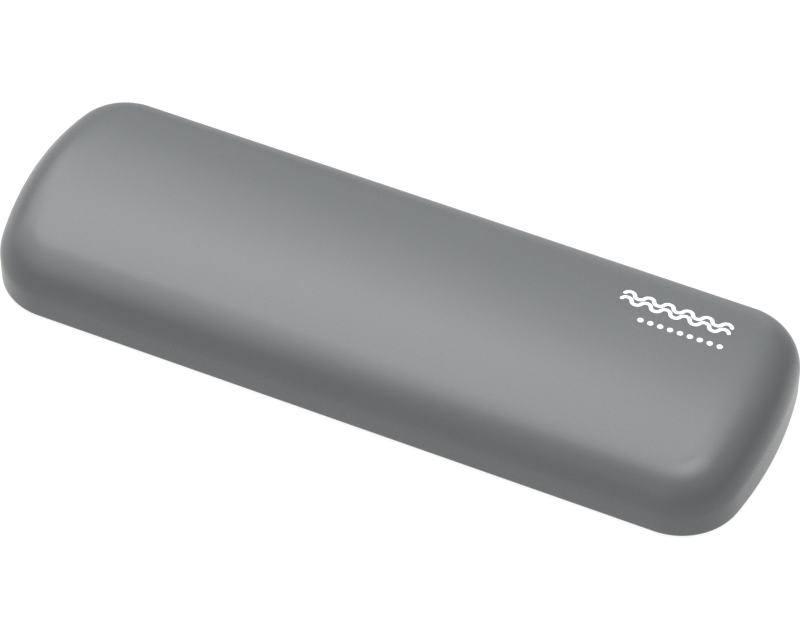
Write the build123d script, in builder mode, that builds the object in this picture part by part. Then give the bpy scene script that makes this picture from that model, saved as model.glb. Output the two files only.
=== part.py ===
from build123d import *
import math
import os

# Palm / wrist rest: a low, long cushion that stands in front of a keyboard.
# A thin moulded skin is drawn over two layers of foam and turned under a stiff
# board; a non-skid sheet is glued underneath.
#
# Frame: +X along the length, -Y towards the user, +Z up.
# Origin: centre of the footprint, on the desk surface.  Millimetres.

# ---- driving dimensions ------------------------------------------------------
LENGTH = 250.0          # over the bowed ends
DEPTH = 82.8            # front to back
HEIGHT = 27.3           # desk to the top of the crown
CORNER_R = 20.5         # plan radius of the four corners
END_BOW = 2.0           # how far each end bulges past its corner centres' line
EDGE_R = 15.0           # rolled edge between the top and the walls
CROWN_RISE = 2.8        # rise of the arched top over its width between edges
FOLD_R = 0.8            # outside radius where the skin folds under

SKIN_T = 0.9            # moulded skin
HEM_W = 9.0             # width of the skin turned under the board
BASE_T = 0.8            # non-skid sheet
BASE_INSET = 2.0        # how far the sheet stands in from the skin's wall
HEM_GLUE_T = 0.15       # glue band between the hem and the board
BOARD_T = 2.0           # stiffener board
FILM_T = 0.15           # bonding films
SUPPORT_T = 10.0        # firm foam
FIT = 0.2               # room round the board inside the skin

MARK_T = 0.06           # thickness of the printed mark
WAVE_C = (83.6, 20.8)   # centre of the printed waves on the top
DOT_C = (87.8, 12.8)    # centre of the row of dots below them
EPS = 0.02              # clearance between glued faces that are curved

# ---- derived levels ------------------------------------------------------------
Z_HEM = BASE_T                      # underside of the hem
Z_HEM_TOP = Z_HEM + SKIN_T
Z_BOARD = Z_HEM_TOP + HEM_GLUE_T
Z_BOARD_TOP = Z_BOARD + BOARD_T
Z_SUPPORT = Z_BOARD_TOP + FILM_T
Z_SUPPORT_TOP = Z_SUPPORT + SUPPORT_T
Z_COMFORT = Z_SUPPORT_TOP + FILM_T

CHORD = DEPTH / 2 - EDGE_R
CROWN_R = (CHORD**2 + CROWN_RISE**2) / (2 * CROWN_RISE)   # arch of the top, axis along X
CROWN_Z = HEIGHT - CROWN_R                                 # height of that axis

CY = DEPTH / 2 - CORNER_R                                  # corner centres
CX = LENGTH / 2 - CORNER_R - END_BOW
END_R = (CY**2 + END_BOW**2) / (2 * END_BOW)               # bow of the ends, before the corner radius
END_CX = LENGTH / 2 - CORNER_R - END_R                     # its centre
END_A = math.degrees(math.asin(CY / END_R))                # half angle it spans


def plan(inset, z):
    """The plan outline, moved in by inset, as a face at height z."""
    r, e = CORNER_R - inset, END_R + CORNER_R - inset
    y = DEPTH / 2 - inset
    with BuildSketch(Plane.XY.offset(z)) as face:
        with BuildLine():
            Line((-CX, y), (CX, y))
            CenterArc((CX, CY), r, END_A, 90 - END_A)
            CenterArc((END_CX, 0), e, -END_A, 2 * END_A)
            CenterArc((CX, -CY), r, -90, 90 - END_A)
            Line((CX, -y), (-CX, -y))
            CenterArc((-CX, -CY), r, 180 + END_A, 90 - END_A)
            CenterArc((-END_CX, 0), e, 180 - END_A, 2 * END_A)
            CenterArc((-CX, CY), r, 90, 90 - END_A)
        make_face()
    return face.sketch


def crown_section(radius, low):
    """Everything below the arched top of that radius, as a face across the object."""
    half = DEPTH
    with BuildSketch(Plane.YZ.offset(-LENGTH)) as face:
        with BuildLine():
            a = math.degrees(math.asin(min(0.98, (DEPTH / 2 + 4) / radius)))
            ys = radius * math.sin(math.radians(a))
            zs = CROWN_Z + radius * math.cos(math.radians(a))
            CenterArc((0, CROWN_Z), radius, 90 - a, 2 * a)
            Line((-ys, zs), (-half, zs))
            Line((-half, zs), (-half, low))
            Line((-half, low), (half, low))
            Line((half, low), (half, zs))
            Line((half, zs), (ys, zs))
        make_face()
    return face.sketch


def cushion(inset, low):
    """The closed outer form moved in by inset: arched top, rolled edge, upright walls, flat at low."""
    with BuildPart() as form:
        add(plan(inset, low))
        extrude(amount=HEIGHT - low + 5)
        add(crown_section(CROWN_R - inset, low - 5))
        extrude(amount=2 * LENGTH, dir=(1, 0, 0), mode=Mode.INTERSECT)
        rim = form.edges().filter_by(lambda e: min(v.Z for v in e.vertices()) > HEIGHT - EDGE_R)
        fillet(rim, EDGE_R - inset)
    return form.part


os.makedirs("parts", exist_ok=True)


def keep(piece, label):
    piece.label = label
    export_step(piece, f"parts/{label}.step")
    print(f"{label:22s} {piece.volume / 1000:8.2f} cm3  solids {len(piece.solids())}")


outer = cushion(0.0, Z_HEM)
inner = cushion(SKIN_T, Z_HEM_TOP)

# ---- cover: moulded skin, open below, with its hem turned in -----------------
with BuildPart() as cover:
    add(outer)
    foot = cover.edges().filter_by(lambda e: e.center().Z < Z_HEM + 0.01)
    fillet(foot, FOLD_R)
    add(inner, mode=Mode.SUBTRACT)
    add(plan(SKIN_T + HEM_W, Z_HEM - 1))
    extrude(amount=SKIN_T + 2, mode=Mode.SUBTRACT)
keep(cover.part, "cover")

# ---- comfort layer: slow-recovery foam, shaped by the skin --------------------
slab_form = cushion(SKIN_T + EPS, Z_HEM_TOP)
with BuildPart() as comfort_foam:
    add(slab_form)
    with BuildSketch(Plane.XY.offset(Z_COMFORT)):
        Rectangle(LENGTH + 10, DEPTH + 10)
    extrude(amount=HEIGHT, mode=Mode.INTERSECT)
keep(comfort_foam.part, "comfort_foam")

# ---- bonding film between the two foams ------------------------------------------
with BuildPart() as foam_bond_film:
    add(slab_form)
    with BuildSketch(Plane.XY.offset(Z_SUPPORT_TOP)):
        Rectangle(LENGTH + 10, DEPTH + 10)
    extrude(amount=FILM_T, mode=Mode.INTERSECT)
keep(foam_bond_film.part, "foam_bond_film")

# ---- support layer: firm foam ----------------------------------------------------
with BuildPart() as support_foam:
    add(slab_form)
    with BuildSketch(Plane.XY.offset(Z_SUPPORT)):
        Rectangle(LENGTH + 10, DEPTH + 10)
    extrude(amount=SUPPORT_T, mode=Mode.INTERSECT)
keep(support_foam.part, "support_foam")

# ---- bonding film between the firm foam and the board ---------------------------------
with BuildPart() as board_bond_film:
    add(plan(SKIN_T + FIT + 0.3, Z_BOARD_TOP))
    extrude(amount=FILM_T)
keep(board_bond_film.part, "board_bond_film")

# ---- stiffener board ----------------------------------------------------------------
with BuildPart() as stiffener_board:
    add(plan(SKIN_T + FIT, Z_BOARD))
    extrude(amount=BOARD_T)
    fillet(stiffener_board.edges().filter_by(lambda e: e.center().Z < Z_BOARD + 0.01), 0.6)
keep(stiffener_board.part, "stiffener_board")

# ---- glue band that holds the hem to the board ----------------------------------------
with BuildPart() as hem_glue_band:
    add(plan(SKIN_T + 1.2, Z_HEM_TOP))
    extrude(amount=HEM_GLUE_T)
    add(plan(SKIN_T + HEM_W - 0.6, Z_HEM_TOP - 1))
    extrude(amount=HEM_GLUE_T + 2, mode=Mode.SUBTRACT)
keep(hem_glue_band.part, "hem_glue_band")

# ---- double-sided pad that fills the pocket inside the hem ----------------------------
with BuildPart() as base_adhesive_pad:
    add(plan(SKIN_T + HEM_W + 0.5, Z_HEM))
    extrude(amount=Z_BOARD - Z_HEM)
keep(base_adhesive_pad.part, "base_adhesive_pad")

# ---- non-skid base sheet --------------------------------------------------------------
with BuildPart() as nonskid_base:
    add(plan(BASE_INSET, 0))
    extrude(amount=BASE_T)
keep(nonskid_base.part, "nonskid_base")

# ---- printed mark: two soft waves over a row of dots ---------------------------------
# It is cut from a thin arched film that follows the top.
WAVES, WAVE_STEP, WAVE_SAG, WAVE_W, WAVE_GAP = 11, 3.15, 1.15, 1.25, 2.75
DOTS, DOT_R, DOT_PITCH = 9, 0.95, 3.2
with BuildPart() as printed_mark:
    for row in (-0.5, 0.5):
        with BuildSketch(Plane.XY.offset(HEIGHT - 8)):
            x0, y0 = WAVE_C[0] - WAVES / 2 * WAVE_STEP, WAVE_C[1] + row * WAVE_GAP
            with BuildLine() as wave:
                for i in range(WAVES):
                    sag = WAVE_SAG if i % 2 == 0 else -WAVE_SAG
                    ThreePointArc(
                        (x0 + i * WAVE_STEP, y0),
                        (x0 + (i + 0.5) * WAVE_STEP, y0 + sag),
                        (x0 + (i + 1) * WAVE_STEP, y0),
                    )
            trace(line_width=WAVE_W)
            with Locations((x0, y0), (x0 + WAVES * WAVE_STEP, y0)):
                Circle(WAVE_W / 2)
        extrude(amount=12)
    with BuildSketch(Plane.XY.offset(HEIGHT - 8)):
        with Locations(*[(DOT_C[0] + (i - (DOTS - 1) / 2) * DOT_PITCH, DOT_C[1]) for i in range(DOTS)]):
            Circle(DOT_R)
    extrude(amount=12)
    with BuildSketch(Plane.YZ):
        with BuildLine():
            c0, c1 = CROWN_R + EPS, CROWN_R + EPS + MARK_T
            CenterArc((0, CROWN_Z), c0, 90 - 15, 30)
            CenterArc((0, CROWN_Z), c1, 90 - 15, 30)
            s, c = math.sin(math.radians(15)), math.cos(math.radians(15))
            Line((c0 * s, CROWN_Z + c0 * c), (c1 * s, CROWN_Z + c1 * c))
            Line((-c0 * s, CROWN_Z + c0 * c), (-c1 * s, CROWN_Z + c1 * c))
        make_face()
    extrude(amount=LENGTH, mode=Mode.INTERSECT)
keep(printed_mark.part, "printed_mark")
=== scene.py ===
import math

import bpy
import bmesh
import numpy as np
from mathutils import Matrix, Vector


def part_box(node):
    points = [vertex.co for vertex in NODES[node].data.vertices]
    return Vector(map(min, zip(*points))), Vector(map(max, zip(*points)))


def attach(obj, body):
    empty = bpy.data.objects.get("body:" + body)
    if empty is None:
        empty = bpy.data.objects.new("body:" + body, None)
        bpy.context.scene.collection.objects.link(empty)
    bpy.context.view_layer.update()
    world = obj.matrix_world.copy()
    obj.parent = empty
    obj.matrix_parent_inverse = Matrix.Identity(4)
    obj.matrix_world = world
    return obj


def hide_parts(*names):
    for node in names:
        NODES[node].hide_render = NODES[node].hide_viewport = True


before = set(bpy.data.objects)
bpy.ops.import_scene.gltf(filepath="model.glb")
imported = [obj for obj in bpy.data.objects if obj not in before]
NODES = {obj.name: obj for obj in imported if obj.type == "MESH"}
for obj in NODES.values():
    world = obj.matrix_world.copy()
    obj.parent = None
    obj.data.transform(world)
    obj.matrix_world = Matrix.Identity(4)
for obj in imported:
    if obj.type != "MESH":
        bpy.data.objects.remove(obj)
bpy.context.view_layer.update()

# ------------------------------------------------------------------------------
# The object's own sizes, in metres: the same values as the CAD source.
# ------------------------------------------------------------------------------
MM = 0.001
cover_lo, cover_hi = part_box("cover")
LENGTH = cover_hi.x - cover_lo.x
DEPTH = cover_hi.y - cover_lo.y
HEIGHT = cover_hi.z
Z_HEM = cover_lo.z
CORNER_R, END_BOW, EDGE_R = 20.5 * MM, 2.0 * MM, 15.0 * MM
CROWN_RISE, FOLD_R, SKIN_T, HEM_W = 2.8 * MM, 0.8 * MM, 0.9 * MM, 9.0 * MM

CHORD = DEPTH / 2 - EDGE_R
CROWN_R = (CHORD**2 + CROWN_RISE**2) / (2 * CROWN_RISE)
CROWN_Z = HEIGHT - CROWN_R
CY = DEPTH / 2 - CORNER_R
CX = LENGTH / 2 - CORNER_R - END_BOW
END_R = (CY**2 + END_BOW**2) / (2 * END_BOW)
END_CX = LENGTH / 2 - CORNER_R - END_R
END_A = math.asin(CY / END_R)


# ------------------------------------------------------------------------------
# Geometry helpers
# ------------------------------------------------------------------------------
def outline(step):
    """Points on the plan outline and their outward normals, anticlockwise from the front left,
    the same count on mirrored stretches so that front and back samples share their x."""
    pts, nrm = [], []

    def line(a, b, n):
        k = max(2, round(math.hypot(b[0] - a[0], b[1] - a[1]) / step))
        for i in range(k):
            t = i / k
            pts.append((a[0] + (b[0] - a[0]) * t, a[1] + (b[1] - a[1]) * t))
            nrm.append(n)

    def arc(cx, cy, r, a0, a1):
        k = max(6, round(r * abs(a1 - a0) / step))
        for i in range(k):
            a = a0 + (a1 - a0) * i / k
            pts.append((cx + r * math.cos(a), cy + r * math.sin(a)))
            nrm.append((math.cos(a), math.sin(a)))

    h, q = math.pi / 2, END_A
    line((-CX, -DEPTH / 2), (CX, -DEPTH / 2), (0, -1))
    arc(CX, -CY, CORNER_R, -h, -q)
    arc(END_CX, 0, END_R + CORNER_R, -q, q)
    arc(CX, CY, CORNER_R, q, h)
    line((CX, DEPTH / 2), (-CX, DEPTH / 2), (0, 1))
    arc(-CX, CY, CORNER_R, h, math.pi - q)
    arc(-END_CX, 0, END_R + CORNER_R, math.pi - q, math.pi + q)
    arc(-CX, -CY, CORNER_R, math.pi + q, math.pi + h)
    return np.array(pts), np.array(nrm)


def crown_z(y, radius):
    return CROWN_Z + np.sqrt(radius**2 - y**2)


def shoulder(p, n, inset, z0, count):
    """Rings from height z0 up the wall and round the rolled edge to the arched top, spaced evenly
    along their own length. The edge is the path of a ball that touches the wall and the top."""
    c = p - EDGE_R * n                                  # centres of the ball
    zc = crown_z(c[:, 1], CROWN_R - EDGE_R)
    r = EDGE_R - inset
    nw = np.c_[n, np.zeros(len(n))]
    nc = np.c_[np.zeros(len(n)), c[:, 1], zc - CROWN_Z]
    nc /= np.linalg.norm(nc, axis=1)[:, None]
    dot = np.clip((nw * nc).sum(1), -1, 1)
    m = nc - nw * dot[:, None]
    m /= np.linalg.norm(m, axis=1)[:, None]
    phi1 = np.arccos(dot)
    phi0 = np.where(z0 > zc, np.arcsin(np.clip((z0 - zc) / (r * m[:, 2]), -1, 1)), 0.0)
    wall = np.maximum(zc - z0, 0.0)
    total = wall + r * (phi1 - phi0)
    centre = np.c_[c, zc]
    rings = []
    for k in range(count + 1):
        s = total * k / count
        phi = phi0 + np.maximum(s - wall, 0) / r
        on_arc = centre + r * (nw * np.cos(phi)[:, None] + m * np.sin(phi)[:, None])
        on_wall = np.c_[p - inset * n, z0 + s]
        rings.append(np.where((s < wall)[:, None], on_wall, on_arc))
    return rings


def medial(ring, reach):
    """Where each point of a ring goes when the ring closes onto the middle line."""
    return np.c_[np.clip(ring[:, 0], -reach, reach), np.zeros(len(ring))]


def close_over(ring, reach, count, height):
    """Rings that close over an outline. height(y, x) gives the z there."""
    m = medial(ring, reach)
    out = []
    for k in range(1, count + 1):
        t = k / count
        xy = ring[:, :2] * (1 - t) + m * t
        out.append(np.c_[xy, height(xy[:, 0], xy[:, 1])])
    return out


def skin_rings(name, rings, loop=False, smooth=True):
    """A closed mesh from rings of equal length. Points that meet on the middle line are welded."""
    n = len(rings[0])
    verts = np.vstack(rings)
    faces = []
    last = len(rings) if loop else len(rings) - 1
    for k in range(last):
        a, b = k * n, ((k + 1) % len(rings)) * n
        for i in range(n):
            j = (i + 1) % n
            faces.append((a + i, a + j, b + j, b + i))
    mesh = bpy.data.meshes.new(name)
    mesh.from_pydata(verts.tolist(), [], faces)
    bm = bmesh.new()
    bm.from_mesh(mesh)
    bmesh.ops.remove_doubles(bm, verts=bm.verts, dist=2e-6)
    bmesh.ops.dissolve_degenerate(bm, edges=bm.edges, dist=1e-6)
    bmesh.ops.recalc_face_normals(bm, faces=bm.faces)
    bm.to_mesh(mesh)
    bm.free()
    for f in mesh.polygons:
        f.use_smooth = smooth
    obj = bpy.data.objects.new(name, mesh)
    bpy.context.scene.collection.objects.link(obj)
    return obj


# ------------------------------------------------------------------------------
# Node material helpers
# ------------------------------------------------------------------------------
class Mat:
    def __init__(self, name):
        self.mat = bpy.data.materials.new(name)
        self.mat.use_nodes = True
        self.t = self.mat.node_tree
        self.t.nodes.clear()
        self.out = self.n("ShaderNodeOutputMaterial")
        self.bsdf = self.n("ShaderNodeBsdfPrincipled")
        self.link(self.bsdf.outputs["BSDF"], self.out.inputs["Surface"])
        self.co = self.n("ShaderNodeTexCoord").outputs["Object"]

    def n(self, kind, **props):
        node = self.t.nodes.new(kind)
        for k, v in props.items():
            setattr(node, k, v)
        return node

    def link(self, a, b):
        self.t.links.new(a, b)

    def set(self, **values):
        for k, v in values.items():
            self.bsdf.inputs[k.replace("_", " ")].default_value = v

    def noise(self, scale, detail=2.0, rough=0.5, vector=None):
        node = self.n("ShaderNodeTexNoise")
        node.inputs["Scale"].default_value = scale
        node.inputs["Detail"].default_value = detail
        node.inputs["Roughness"].default_value = rough
        self.link(vector or self.co, node.inputs["Vector"])
        return node.outputs["Fac"]

    def voronoi(self, scale, feature="F1", vector=None, randomness=1.0):
        node = self.n("ShaderNodeTexVoronoi", feature=feature)
        node.inputs["Scale"].default_value = scale
        node.inputs["Randomness"].default_value = randomness
        self.link(vector or self.co, node.inputs["Vector"])
        return node.outputs["Distance"]

    def ramp(self, fac, stops):
        node = self.n("ShaderNodeValToRGB")
        el = node.color_ramp.elements
        while len(el) < len(stops):
            el.new(0.5)
        for e, (pos, col) in zip(el, stops):
            e.position = pos
            e.color = (*col, 1) if len(col) == 3 else col
        self.link(fac, node.inputs["Fac"])
        return node.outputs["Color"]

    def map(self, value, a, b, lo=0.0, hi=1.0):
        node = self.n("ShaderNodeMapRange")
        node.inputs["From Min"].default_value = lo
        node.inputs["From Max"].default_value = hi
        node.inputs["To Min"].default_value = a
        node.inputs["To Max"].default_value = b
        self.link(value, node.inputs["Value"])
        return node.outputs["Result"]

    def math(self, op, a, b):
        node = self.n("ShaderNodeMath", operation=op)
        for socket, v in zip(node.inputs, (a, b)):
            if isinstance(v, (int, float)):
                socket.default_value = v
            else:
                self.link(v, socket)
        return node.outputs["Value"]

    def bump(self, height, distance, strength=1.0, normal=None):
        node = self.n("ShaderNodeBump")
        node.inputs["Strength"].default_value = strength
        node.inputs["Distance"].default_value = distance
        self.link(height, node.inputs["Height"])
        if normal is not None:
            self.link(normal, node.inputs["Normal"])
        return node.outputs["Normal"]

    def to(self, socket, value):
        self.link(value, self.bsdf.inputs[socket])


def paint(obj, mat):
    obj.data.materials.clear()
    obj.data.materials.append(mat)


# ------------------------------------------------------------------------------
# Materials
# ------------------------------------------------------------------------------
def skin_material():
    """Soft-touch moulded skin: even mid grey, a fine matt grain and slight unevenness of gloss."""
    m = Mat("soft_touch_skin")
    grain = m.noise(3200, 3.0, 0.6)
    broad = m.noise(22, 2.0, 0.5)
    tone = m.math("ADD", m.math("MULTIPLY", grain, 0.6), m.math("MULTIPLY", broad, 0.4))
    m.to("Base Color", m.ramp(tone, [(0.30, (0.119, 0.1247, 0.1288)), (0.70, (0.129, 0.1347, 0.1387))]))
    m.to("Roughness", m.map(grain, 0.26, 0.32, 0.3, 0.7))
    m.set(Specular_IOR_Level=0.35, IOR=1.47)
    pores = m.voronoi(2300, "SMOOTH_F1")
    n = m.bump(grain, 0.00002, 0.35)
    m.to("Normal", m.bump(pores, 0.000015, 0.25, n))
    return m.mat


def ink_material():
    """White pad print: opaque, a little mottled, faintly raised."""
    m = Mat("white_print")
    mottle = m.noise(2600, 2.0, 0.6)
    m.to("Base Color", m.ramp(mottle, [(0.3, (0.86, 0.86, 0.86)), (0.7, (0.92, 0.92, 0.92))]))
    m.to("Roughness", m.map(mottle, 0.42, 0.52, 0.3, 0.7))
    m.to("Normal", m.bump(mottle, 0.00001, 0.3))
    return m.mat


def rubber_material():
    m = Mat("nonskid_rubber")
    fine = m.noise(2800, 3.0, 0.65)
    broad = m.noise(30, 3.0, 0.55)
    tone = m.math("ADD", m.math("MULTIPLY", fine, 0.5), m.math("MULTIPLY", broad, 0.5))
    m.to("Base Color", m.ramp(tone, [(0.32, (0.024, 0.025, 0.026)), (0.68, (0.040, 0.041, 0.043))]))
    m.to("Roughness", m.map(tone, 0.66, 0.82, 0.3, 0.7))
    m.set(Specular_IOR_Level=0.4)
    m.to("Normal", m.bump(fine, 0.00003, 0.5))
    return m.mat


def foam_material(name, dark, light, cell, depth):
    """Open-cell foam: rounded pits of two sizes, darker inside them as painted shade in the hollows."""
    m = Mat(name)
    big = m.voronoi(1.0 / cell, "F1")
    small = m.voronoi(2.6 / cell, "F1")
    pits = m.math("ADD", m.math("MULTIPLY", big, 0.65), m.math("MULTIPLY", small, 0.35))
    # painted shade: the first colour is shade painted into the pit bottoms, the hollows that the bump below
    # makes
    m.to("Base Color", m.ramp(pits, [(0.12, dark), (0.45, light)]))
    m.to("Roughness", m.map(pits, 0.95, 0.82, 0.1, 0.6))
    m.to("Normal", m.bump(pits, depth, 0.8))
    m.set(Specular_IOR_Level=0.25, Sheen_Weight=0.15, Sheen_Roughness=0.6)
    return m.mat


def board_material():
    """Black extruded plastic sheet with a fine pebble texture."""
    m = Mat("board_plastic")
    pebble = m.voronoi(1400, "SMOOTH_F1")
    broad = m.noise(45, 3.0, 0.5)
    m.to("Base Color", m.ramp(broad, [(0.3, (0.014, 0.014, 0.015)), (0.7, (0.022, 0.022, 0.024))]))
    m.to("Roughness", m.map(pebble, 0.38, 0.55, 0.0, 0.6))
    m.to("Normal", m.bump(pebble, 0.00004, 0.4))
    return m.mat


def glue_material():
    """Transfer adhesive: a cloudy amber film, glossy and a little lumpy."""
    m = Mat("transfer_adhesive")
    cloud = m.noise(160, 4.0, 0.6)
    m.to("Base Color", m.ramp(cloud, [(0.3, (0.62, 0.50, 0.30)), (0.7, (0.80, 0.71, 0.50))]))
    m.to("Roughness", m.map(cloud, 0.18, 0.34, 0.3, 0.7))
    m.to("Normal", m.bump(cloud, 0.00004, 0.4))
    return m.mat


def tape_material():
    """Closed-cell foam tape, white, with painted shade in its cell hollows."""
    m = Mat("foam_tape")
    cells = m.voronoi(4200, "F1")
    # painted shade: greyer at the bottoms of the cell hollows that the bump below makes
    m.to("Base Color", m.ramp(cells, [(0.1, (0.66, 0.66, 0.64)), (0.5, (0.82, 0.82, 0.80))]))
    m.to("Roughness", m.map(cells, 0.85, 0.7, 0.1, 0.6))
    m.to("Normal", m.bump(cells, 0.00005, 0.5))
    return m.mat


def floor_material():
    """Plain white where it is seen. The light it throws on the object is graded, like the light of
    pale cards laid round it: full beside it, and weaker close behind, in front and far to the right."""
    m = Mat("pale_floor")
    soft = m.noise(3, 2.0, 0.5)
    m.to("Base Color", m.ramp(soft, [(0.3, (0.115, 0.115, 0.115)), (0.7, (0.125, 0.125, 0.125))]))
    m.set(Roughness=0.9, Specular_IOR_Level=0.1)
    reach = m.n("ShaderNodeVectorMath", operation="LENGTH")
    place = m.n("ShaderNodeSeparateXYZ")
    m.link(m.co, reach.inputs[0])
    m.link(m.co, place.inputs[0])
    x, y = place.outputs["X"], place.outputs["Y"]
    share = 1.14
    for axis, start, end, change in (
        (x, 0.10, 0.14, -0.07), (x, 0.16, 0.28, -0.80), (x, -0.10, -0.14, -0.18),
        (y, 0.045, 0.08, -0.77), (y, 0.14, 0.28, 0.80), (y, -0.045, -0.08, -0.36), (y, -0.14, -0.28, -0.56),
    ):
        share = m.math("ADD", share, m.map(axis, 0.0, change, start, end))
    fall = m.ramp(reach.outputs["Value"], [(0.22, (0.90,) * 3), (0.34, (0.80,) * 3), (0.50, (0.60,) * 3), (0.80, (0.50,) * 3)])
    thrown = m.math("MULTIPLY", m.math("MAXIMUM", share, 0.03), fall)
    seen = m.n("ShaderNodeLightPath").outputs["Is Camera Ray"]
    unseen = m.math("SUBTRACT", 1.0, seen)
    m.to("Emission Strength", m.math("ADD", m.math("MULTIPLY", thrown, unseen), m.math("MULTIPLY", seen, 0.90)))
    m.set(Emission_Color=(1, 1, 1, 1))
    return m.mat


SKIN = skin_material()
INK = ink_material()
RUBBER = rubber_material()
# the first colour of each foam is painted shade for the bottoms of its pits, the second is the foam itself
COMFORT = foam_material("slow_recovery_foam", (0.50, 0.46, 0.34), (0.80, 0.76, 0.62), 0.00055, 0.00018)
SUPPORT = foam_material("firm_foam", (0.05, 0.052, 0.056), (0.13, 0.135, 0.145), 0.00035, 0.00010)
BOARD = board_material()
GLUE = glue_material()
TAPE = tape_material()

# ------------------------------------------------------------------------------
# Cover: the moulded skin as a real shell, outside and inside
# ------------------------------------------------------------------------------
p, n = outline(1.0 * MM)
REACH = CX - 12 * MM


def offset(inset):
    return p - inset * n


def cover_shell():
    hem_in, fold = SKIN_T + HEM_W, FOLD_R
    z0 = Z_HEM
    rings = []
    # the turned-in hem's underside, from its inner edge out to the fold
    for t in np.linspace(0, 1, 9):
        inset = hem_in + (fold - hem_in) * t
        rings.append(np.c_[offset(inset), np.full(len(p), z0)])
    # the fold
    for a in np.linspace(0, math.pi / 2, 7)[1:]:
        inset = fold * (1 - math.sin(a))
        rings.append(np.c_[offset(inset), np.full(len(p), z0 + fold * (1 - math.cos(a)))])
    # wall, rolled edge and top
    up = shoulder(p, n, 0.0, z0 + fold, 30)[1:]
    rings += up
    rings += close_over(up[-1], REACH, 26, lambda x, y: crown_z(y, CROWN_R))
    outer = skin_rings("cover_outer", rings)
    # the inside face, the same form one skin thickness in
    inner = []
    for t in np.linspace(0, 1, 9):
        inset = hem_in + (SKIN_T - hem_in) * t
        inner.append(np.c_[offset(inset), np.full(len(p), z0 + SKIN_T)])
    up = shoulder(p, n, SKIN_T, z0 + SKIN_T, 24)[1:]
    inner += up
    inner += close_over(up[-1], REACH, 20, lambda x, y: crown_z(y, CROWN_R - SKIN_T))
    inside = skin_rings("cover_inner", inner)
    # join the two along the hem's inner edge
    bm = bmesh.new()
    bm.from_mesh(outer.data)
    bm.from_mesh(inside.data)
    edges = [e for e in bm.edges if e.is_boundary]
    bmesh.ops.bridge_loops(bm, edges=edges)
    bmesh.ops.recalc_face_normals(bm, faces=bm.faces)
    mesh = bpy.data.meshes.new("cover_skin")
    bm.to_mesh(mesh)
    open_edges = sum(e.is_boundary for e in bm.edges)
    bm.free()
    if open_edges:
        raise RuntimeError(f"the cover shell has {open_edges} open edges")
    for o in (outer, inside):
        data = o.data
        bpy.data.objects.remove(o)
        bpy.data.meshes.remove(data)
    obj = bpy.data.objects.new("cover_skin", mesh)
    bpy.context.scene.collection.objects.link(obj)
    for f in mesh.polygons:
        f.use_smooth = True
    return obj


cover = cover_shell()
paint(cover, SKIN)
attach(cover, "root")
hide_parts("cover")


# ------------------------------------------------------------------------------
# The two foams
# ------------------------------------------------------------------------------
def foam_block(name, z0, z1, inset):
    """Foam cut flat below, and flat above (z1) or shaped by the skin (z1 None)."""
    rings = []
    up = shoulder(p, n, inset, z0, 20)
    if z1 is None:
        top = close_over(up[-1], REACH, 20, lambda x, y: crown_z(y, CROWN_R - inset))
    else:
        fine = shoulder(p, n, inset, z0, 240)
        cut = []
        for t in np.linspace(0, 1, 9):
            z = z0 + (z1 - z0) * t
            cut.append(level(fine, z))
        up = cut
        top = close_over(up[-1], REACH, 20, lambda x, y: np.full(len(x), z1))
    under = close_over(up[0], REACH, 20, lambda x, y: np.full(len(x), z0))
    rings = under[::-1] + up + top
    return skin_rings(name, rings)


def level(rings, z):
    """The ring at height z, read off a fine stack of rings."""
    stack = np.stack(rings)                             # ring, point, xyz
    out = np.empty((stack.shape[1], 3))
    for i in range(stack.shape[1]):
        zs = stack[:, i, 2]
        out[i, 0] = np.interp(z, zs, stack[:, i, 0])
        out[i, 1] = np.interp(z, zs, stack[:, i, 1])
    out[:, 2] = z
    return out


support_lo, support_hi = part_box("support_foam")
comfort_lo, comfort_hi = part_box("comfort_foam")
GAP = SKIN_T + 0.03 * MM
comfort = foam_block("comfort_foam_block", comfort_lo.z, None, GAP)
support = foam_block("support_foam_block", support_lo.z, support_hi.z, GAP)
for obj, mat, node in ((comfort, COMFORT, "comfort_foam"), (support, SUPPORT, "support_foam")):
    paint(obj, mat)
    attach(obj, "root")
    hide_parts(node)

# ------------------------------------------------------------------------------
# Non-skid base: a sheet with a moulded pattern of small studs inside a plain border
# ------------------------------------------------------------------------------
base_lo, base_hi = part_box("nonskid_base")
BASE_INSET = cover_hi.x - base_hi.x
BASE_T = base_hi.z - base_lo.z


def base_sheet():
    step = 0.75 * MM
    border, drop, edge = 3.0 * MM, 0.30 * MM, 0.30 * MM
    pb, nb = outline(step)

    def off(i):
        return pb - i * nb

    rings = []
    top = np.c_[off(BASE_INSET), np.full(len(pb), base_hi.z)]
    rings += close_over(top, REACH, 6, lambda x, y: np.full(len(x), base_hi.z))[::-1]
    rings.append(top)
    rings.append(np.c_[off(BASE_INSET), np.full(len(pb), base_lo.z + edge)])
    for a in np.linspace(0, math.pi / 2, 5)[1:]:
        rings.append(np.c_[off(BASE_INSET + edge * (1 - math.cos(a))), np.full(len(pb), base_lo.z + edge * (1 - math.sin(a)))])
    rings.append(np.c_[off(BASE_INSET + border), np.full(len(pb), base_lo.z)])
    rings.append(np.c_[off(BASE_INSET + border + 0.25 * MM), np.full(len(pb), base_lo.z + drop)])
    rim = rings[-1]
    rings += close_over(rim, REACH, 46, lambda x, y: np.full(len(x), base_lo.z + drop))
    return skin_rings("base_sheet", rings)


base = base_sheet()
paint(base, RUBBER)
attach(base, "root")
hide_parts("nonskid_base")


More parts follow.
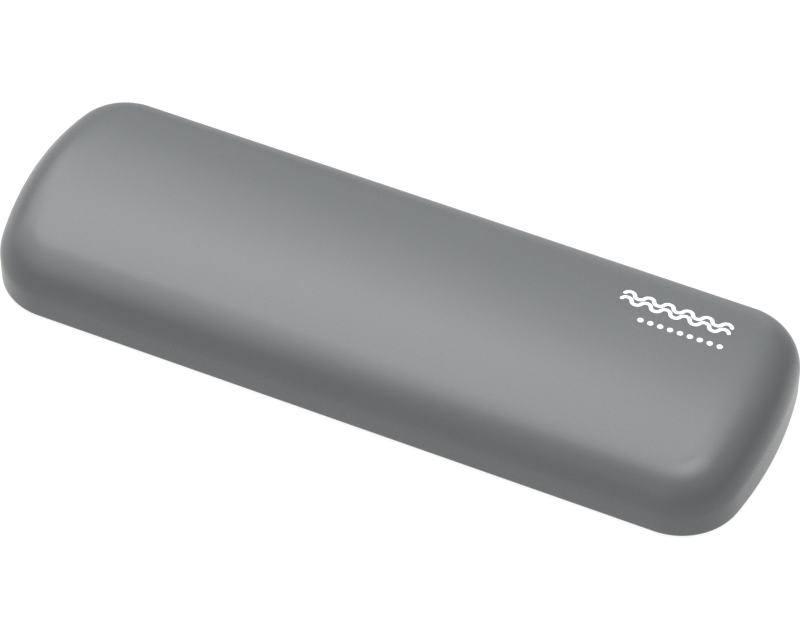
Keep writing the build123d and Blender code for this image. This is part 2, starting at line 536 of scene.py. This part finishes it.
def base_studs():
    """Low round studs in a staggered grid, standing on the sheet's sunk field and ending on the desk plane."""
    pitch, r, drop = 3.2 * MM, 0.95 * MM, 0.30 * MM
    lim = BASE_INSET + 3.0 * MM + 1.6 * MM
    seg = 14
    prof = [(1.0, drop + 0.05 * MM), (1.0, 0.16 * MM), (0.93, 0.06 * MM), (0.78, 0.0), (0.0, 0.0)]
    verts, faces = [], []
    rows = int(DEPTH / 2 / (pitch * 0.866)) + 1
    cols = int(LENGTH / 2 / pitch) + 1
    for j in range(-rows, rows + 1):
        for i in range(-cols, cols + 1):
            x = (i + (0.5 if j % 2 else 0.0)) * pitch
            y = j * pitch * 0.866
            if inset_of(x, y) < lim + r:
                continue
            first = len(verts)
            for rr, z in prof[:-1]:
                for k in range(seg):
                    a = 2 * math.pi * k / seg
                    verts.append((x + rr * r * math.cos(a), y + rr * r * math.sin(a), base_lo.z + z))
            rings = len(prof) - 1
            for q in range(rings - 1):
                for k in range(seg):
                    a, b = first + q * seg + k, first + q * seg + (k + 1) % seg
                    faces.append((a + seg, b + seg, b, a))
            faces.append([first + (rings - 1) * seg + k for k in range(seg)][::-1])
            faces.append([first + k for k in range(seg)])
    mesh = bpy.data.meshes.new("base_studs")
    mesh.from_pydata(verts, [], faces)
    bm = bmesh.new()
    bm.from_mesh(mesh)
    bmesh.ops.recalc_face_normals(bm, faces=bm.faces)
    bm.to_mesh(mesh)
    bm.free()
    obj = bpy.data.objects.new("base_studs", mesh)
    bpy.context.scene.collection.objects.link(obj)
    for f in mesh.polygons:
        f.use_smooth = len(f.vertices) == 4
    return obj


def inset_of(x, y):
    """How far inside the plan outline a point lies."""
    x, y = abs(x), abs(y)
    a = math.atan2(y, x - END_CX)
    ends = END_R + CORNER_R - math.hypot(x - END_CX, y)
    if x > CX and y > CY and a > END_A:
        return CORNER_R - math.hypot(x - CX, y - CY)
    return min(DEPTH / 2 - y, ends)


studs = base_studs()
paint(studs, RUBBER)
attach(studs, "root")


# ------------------------------------------------------------------------------
# Printed mark: two waves over a row of dots, laid on the arched top
# ------------------------------------------------------------------------------
WAVE_C, DOT_C = (83.6 * MM, 20.8 * MM), (87.8 * MM, 12.8 * MM)
WAVES, WAVE_STEP, WAVE_SAG, WAVE_W, WAVE_GAP = 11, 3.15 * MM, 1.15 * MM, 1.25 * MM, 2.75 * MM
DOTS, DOT_R, DOT_PITCH = 9, 0.95 * MM, 3.2 * MM
INK_LOW, INK_HIGH = 0.015 * MM, 0.05 * MM


def on_top(x, y, lift):
    r = CROWN_R + lift
    return (x, y, CROWN_Z + math.sqrt(r * r - y * y))


def wave_line(x0, y0, per):
    """Points and normals along the wave, which is a chain of tangent arcs."""
    half, sag = WAVE_STEP / 2, WAVE_SAG
    r = (half * half + sag * sag) / (2 * sag)
    th = math.asin(min(1.0, half / r)) if sag <= r else math.pi - math.asin(half / r)
    out = []
    for i in range(WAVES):
        up = 1 if i % 2 == 0 else -1
        cx, cy = x0 + (i + 0.5) * WAVE_STEP, y0 + up * (sag - r)
        for k in range(per + (1 if i == WAVES - 1 else 0)):
            a = -th + 2 * th * k / per
            nx, ny = math.sin(a), up * math.cos(a)
            out.append(((cx + r * nx, cy + r * ny), (nx * up, ny * up)))
    return out


def strip(bm, line, width, across=4):
    """A ribbon of ink along a line, with round ends, closed below."""
    pts = [np.array(q[0]) for q in line]
    nrm = [np.array(q[1]) for q in line]
    rows = []
    t0 = pts[1] - pts[0]
    t1 = pts[-1] - pts[-2]
    t0, t1 = t0 / np.linalg.norm(t0), t1 / np.linalg.norm(t1)
    for a in np.linspace(math.pi / 2, 0, 7)[1:][::-1]:     # start cap
        rows.append((pts[0] - t0 * width / 2 * math.sin(a), nrm[0], width / 2 * math.cos(a)))
    rows = sorted(rows, key=lambda q: -np.dot(pts[0] - q[0], t0))
    rows = [q for q in rows if q[2] > 1e-7]
    tip0 = pts[0] - t0 * width / 2
    body = [(q, w, width / 2) for q, w in zip(pts, nrm)]
    tail = [(pts[-1] + t1 * width / 2 * math.sin(a), nrm[-1], width / 2 * math.cos(a)) for a in np.linspace(0, math.pi / 2, 7)[1:-1]]
    tip1 = pts[-1] + t1 * width / 2
    rows = rows[:-1] + body + tail if np.allclose(rows[-1][0], pts[0]) else rows + body + tail
    grids = []
    for lift in (INK_HIGH, INK_LOW):
        g = []
        for c, w, hw in rows:
            g.append([bm.verts.new(on_top(*(c + w * hw * u), lift)) for u in np.linspace(-1, 1, across + 1)])
        a = bm.verts.new(on_top(*tip0, lift))
        b = bm.verts.new(on_top(*tip1, lift))
        grids.append((g, a, b))
        for r0, r1 in zip(g, g[1:]):
            for k in range(across):
                bm.faces.new((r0[k], r1[k], r1[k + 1], r0[k + 1]))
        for k in range(across):
            bm.faces.new((a, g[0][k], g[0][k + 1]))
            bm.faces.new((b, g[-1][k + 1], g[-1][k]))
    (g, a, b), (h, c, d) = grids
    loop = lambda gg, s, e: [s] + [r[0] for r in gg] + [e] + [r[-1] for r in gg[::-1]]
    for u, v in [(loop(g, a, b), loop(h, c, d))]:
        for k in range(len(u)):
            j = (k + 1) % len(u)
            bm.faces.new((u[k], u[j], v[j], v[k]))


def dot(bm, x, y, r, seg=28, rings=3):
    tops = []
    for lift in (INK_HIGH, INK_LOW):
        mid = bm.verts.new(on_top(x, y, lift))
        prev = None
        for q in range(1, rings + 1):
            ring = [bm.verts.new(on_top(x + r * q / rings * math.cos(2 * math.pi * k / seg), y + r * q / rings * math.sin(2 * math.pi * k / seg), lift)) for k in range(seg)]
            for k in range(seg):
                j = (k + 1) % seg
                if prev is None:
                    bm.faces.new((mid, ring[k], ring[j]))
                else:
                    bm.faces.new((prev[k], ring[k], ring[j], prev[j]))
            prev = ring
        tops.append(prev)
    for k in range(seg):
        j = (k + 1) % seg
        bm.faces.new((tops[0][k], tops[1][k], tops[1][j], tops[0][j]))


def mark():
    bm = bmesh.new()
    for row in (-0.5, 0.5):
        strip(bm, wave_line(WAVE_C[0] - WAVES / 2 * WAVE_STEP, WAVE_C[1] + row * WAVE_GAP, 12), WAVE_W)
    for i in range(DOTS):
        dot(bm, DOT_C[0] + (i - (DOTS - 1) / 2) * DOT_PITCH, DOT_C[1], DOT_R)
    bmesh.ops.recalc_face_normals(bm, faces=bm.faces)
    mesh = bpy.data.meshes.new("wave_print")
    bm.to_mesh(mesh)
    bad = sum(not e.is_manifold for e in bm.edges)
    bm.free()
    if bad:
        raise RuntimeError(f"the print has {bad} open edges")
    obj = bpy.data.objects.new("wave_print", mesh)
    bpy.context.scene.collection.objects.link(obj)
    return obj


print_piece = mark()
paint(print_piece, INK)
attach(print_piece, "root")
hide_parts("printed_mark")

# ------------------------------------------------------------------------------
# CAD pieces that stay: better materials
# ------------------------------------------------------------------------------
for node, mat, slot in (
    ("stiffener_board", BOARD, "board"),
    ("foam_bond_film", GLUE, "bond_film"),
    ("board_bond_film", GLUE, "bond_film"),
    ("hem_glue_band", GLUE, "bond_film"),
    ("base_adhesive_pad", TAPE, "adhesive_pad"),
):
    paint(NODES[node], mat)

# ------------------------------------------------------------------------------
# Floor, lights, world and camera
# ------------------------------------------------------------------------------
bpy.ops.mesh.primitive_plane_add(size=8.0, location=(0, 0, 0))
floor = bpy.context.object
floor.name = "floor"
paint(floor, floor_material())

scene = bpy.context.scene
scene.view_settings.view_transform = "Standard"
scene.view_settings.look = "None"
scene.view_settings.exposure = 0.0
scene.view_settings.gamma = 1.0


def area(name, loc, target, size, power, shape="RECTANGLE", spread=180):
    light = bpy.data.lights.new(name, "AREA")
    light.shape = shape
    light.size, light.size_y = size
    light.energy = power
    light.spread = math.radians(spread)
    obj = bpy.data.objects.new(name, light)
    obj.location = loc
    obj.rotation_mode = "QUATERNION"
    obj.rotation_quaternion = (Vector(target) - Vector(loc)).to_track_quat("-Z", "Y")
    scene.collection.objects.link(obj)
    return obj


# soft boxes on a dome over the object: side it shines from in degrees (0 front, 90 right),
# elevation, watts
BOXES = (
    (0, 70, 4.28), (60, 70, 6.07), (120, 70, 2.90), (180, 70, 1.27), (240, 70, 5.05), (300, 70, 0.81),
    (0, 52, 0.24), (135, 52, 0.79), (180, 52, 0.89), (225, 52, 3.30), (270, 52, 0.54), (315, 52, 1.15),
    (210, 36, 0.17), (240, 36, 2.40), (270, 36, 0.97), (330, 36, 0.84),
    (0, 12, 0.71), (180, 12, 0.51), (270, 12, 0.27),
)
for az, el, watts in BOXES:
    a, e = math.radians(az), math.radians(el)
    spot = Vector((math.sin(a) * math.cos(e), -math.cos(a) * math.cos(e), math.sin(e))) * 1.2
    size = (0.7, 0.7) if el > 45 else (0.6, 0.6) if el > 20 else (0.5, 0.4)
    area(f"soft_{az}_{el}", spot, (0, 0, 0.01), size, watts)

world = bpy.data.worlds.new("studio")
world.use_nodes = True
wt = world.node_tree
wt.nodes.clear()
seen, unseen = wt.nodes.new("ShaderNodeBackground"), wt.nodes.new("ShaderNodeBackground")
seen.inputs["Color"].default_value = (1, 1, 1, 1)
unseen.inputs["Color"].default_value = (0, 0, 0, 1)
mix = wt.nodes.new("ShaderNodeMixShader")
wt.links.new(wt.nodes.new("ShaderNodeLightPath").outputs["Is Camera Ray"], mix.inputs[0])
wt.links.new(unseen.outputs[0], mix.inputs[1])
wt.links.new(seen.outputs[0], mix.inputs[2])
wt.links.new(mix.outputs[0], wt.nodes.new("ShaderNodeOutputWorld").inputs["Surface"])
scene.world = world

AZ, EL, DIST, FOCAL_PX = math.radians(24.3244), math.radians(49.4198), 5.54306 * LENGTH, 4498.0
BASE_PX = (395.768, 329.164)                              # where the origin falls in an 800 x 640 frame
back = Vector((math.sin(AZ) * math.cos(EL), -math.cos(AZ) * math.cos(EL), math.sin(EL)))
right = Vector((math.cos(AZ), math.sin(AZ), 0))
up = back.cross(right)
aim = (-back * FOCAL_PX + right * (400 - BASE_PX[0]) + up * (BASE_PX[1] - 320)).normalized()
side = aim.cross(up).normalized()
top = side.cross(aim)
cam_data = bpy.data.cameras.new("camera")
cam_data.sensor_width = 36.0
cam_data.lens = FOCAL_PX * 36.0 / 800
cam_data.clip_start, cam_data.clip_end = 0.05, 50
cam = bpy.data.objects.new("camera", cam_data)
cam.matrix_world = Matrix((
    (side.x, top.x, -aim.x, back.x * DIST),
    (side.y, top.y, -aim.y, back.y * DIST),
    (side.z, top.z, -aim.z, back.z * DIST),
    (0, 0, 0, 1),
))
scene.collection.objects.link(cam)
scene.camera = cam
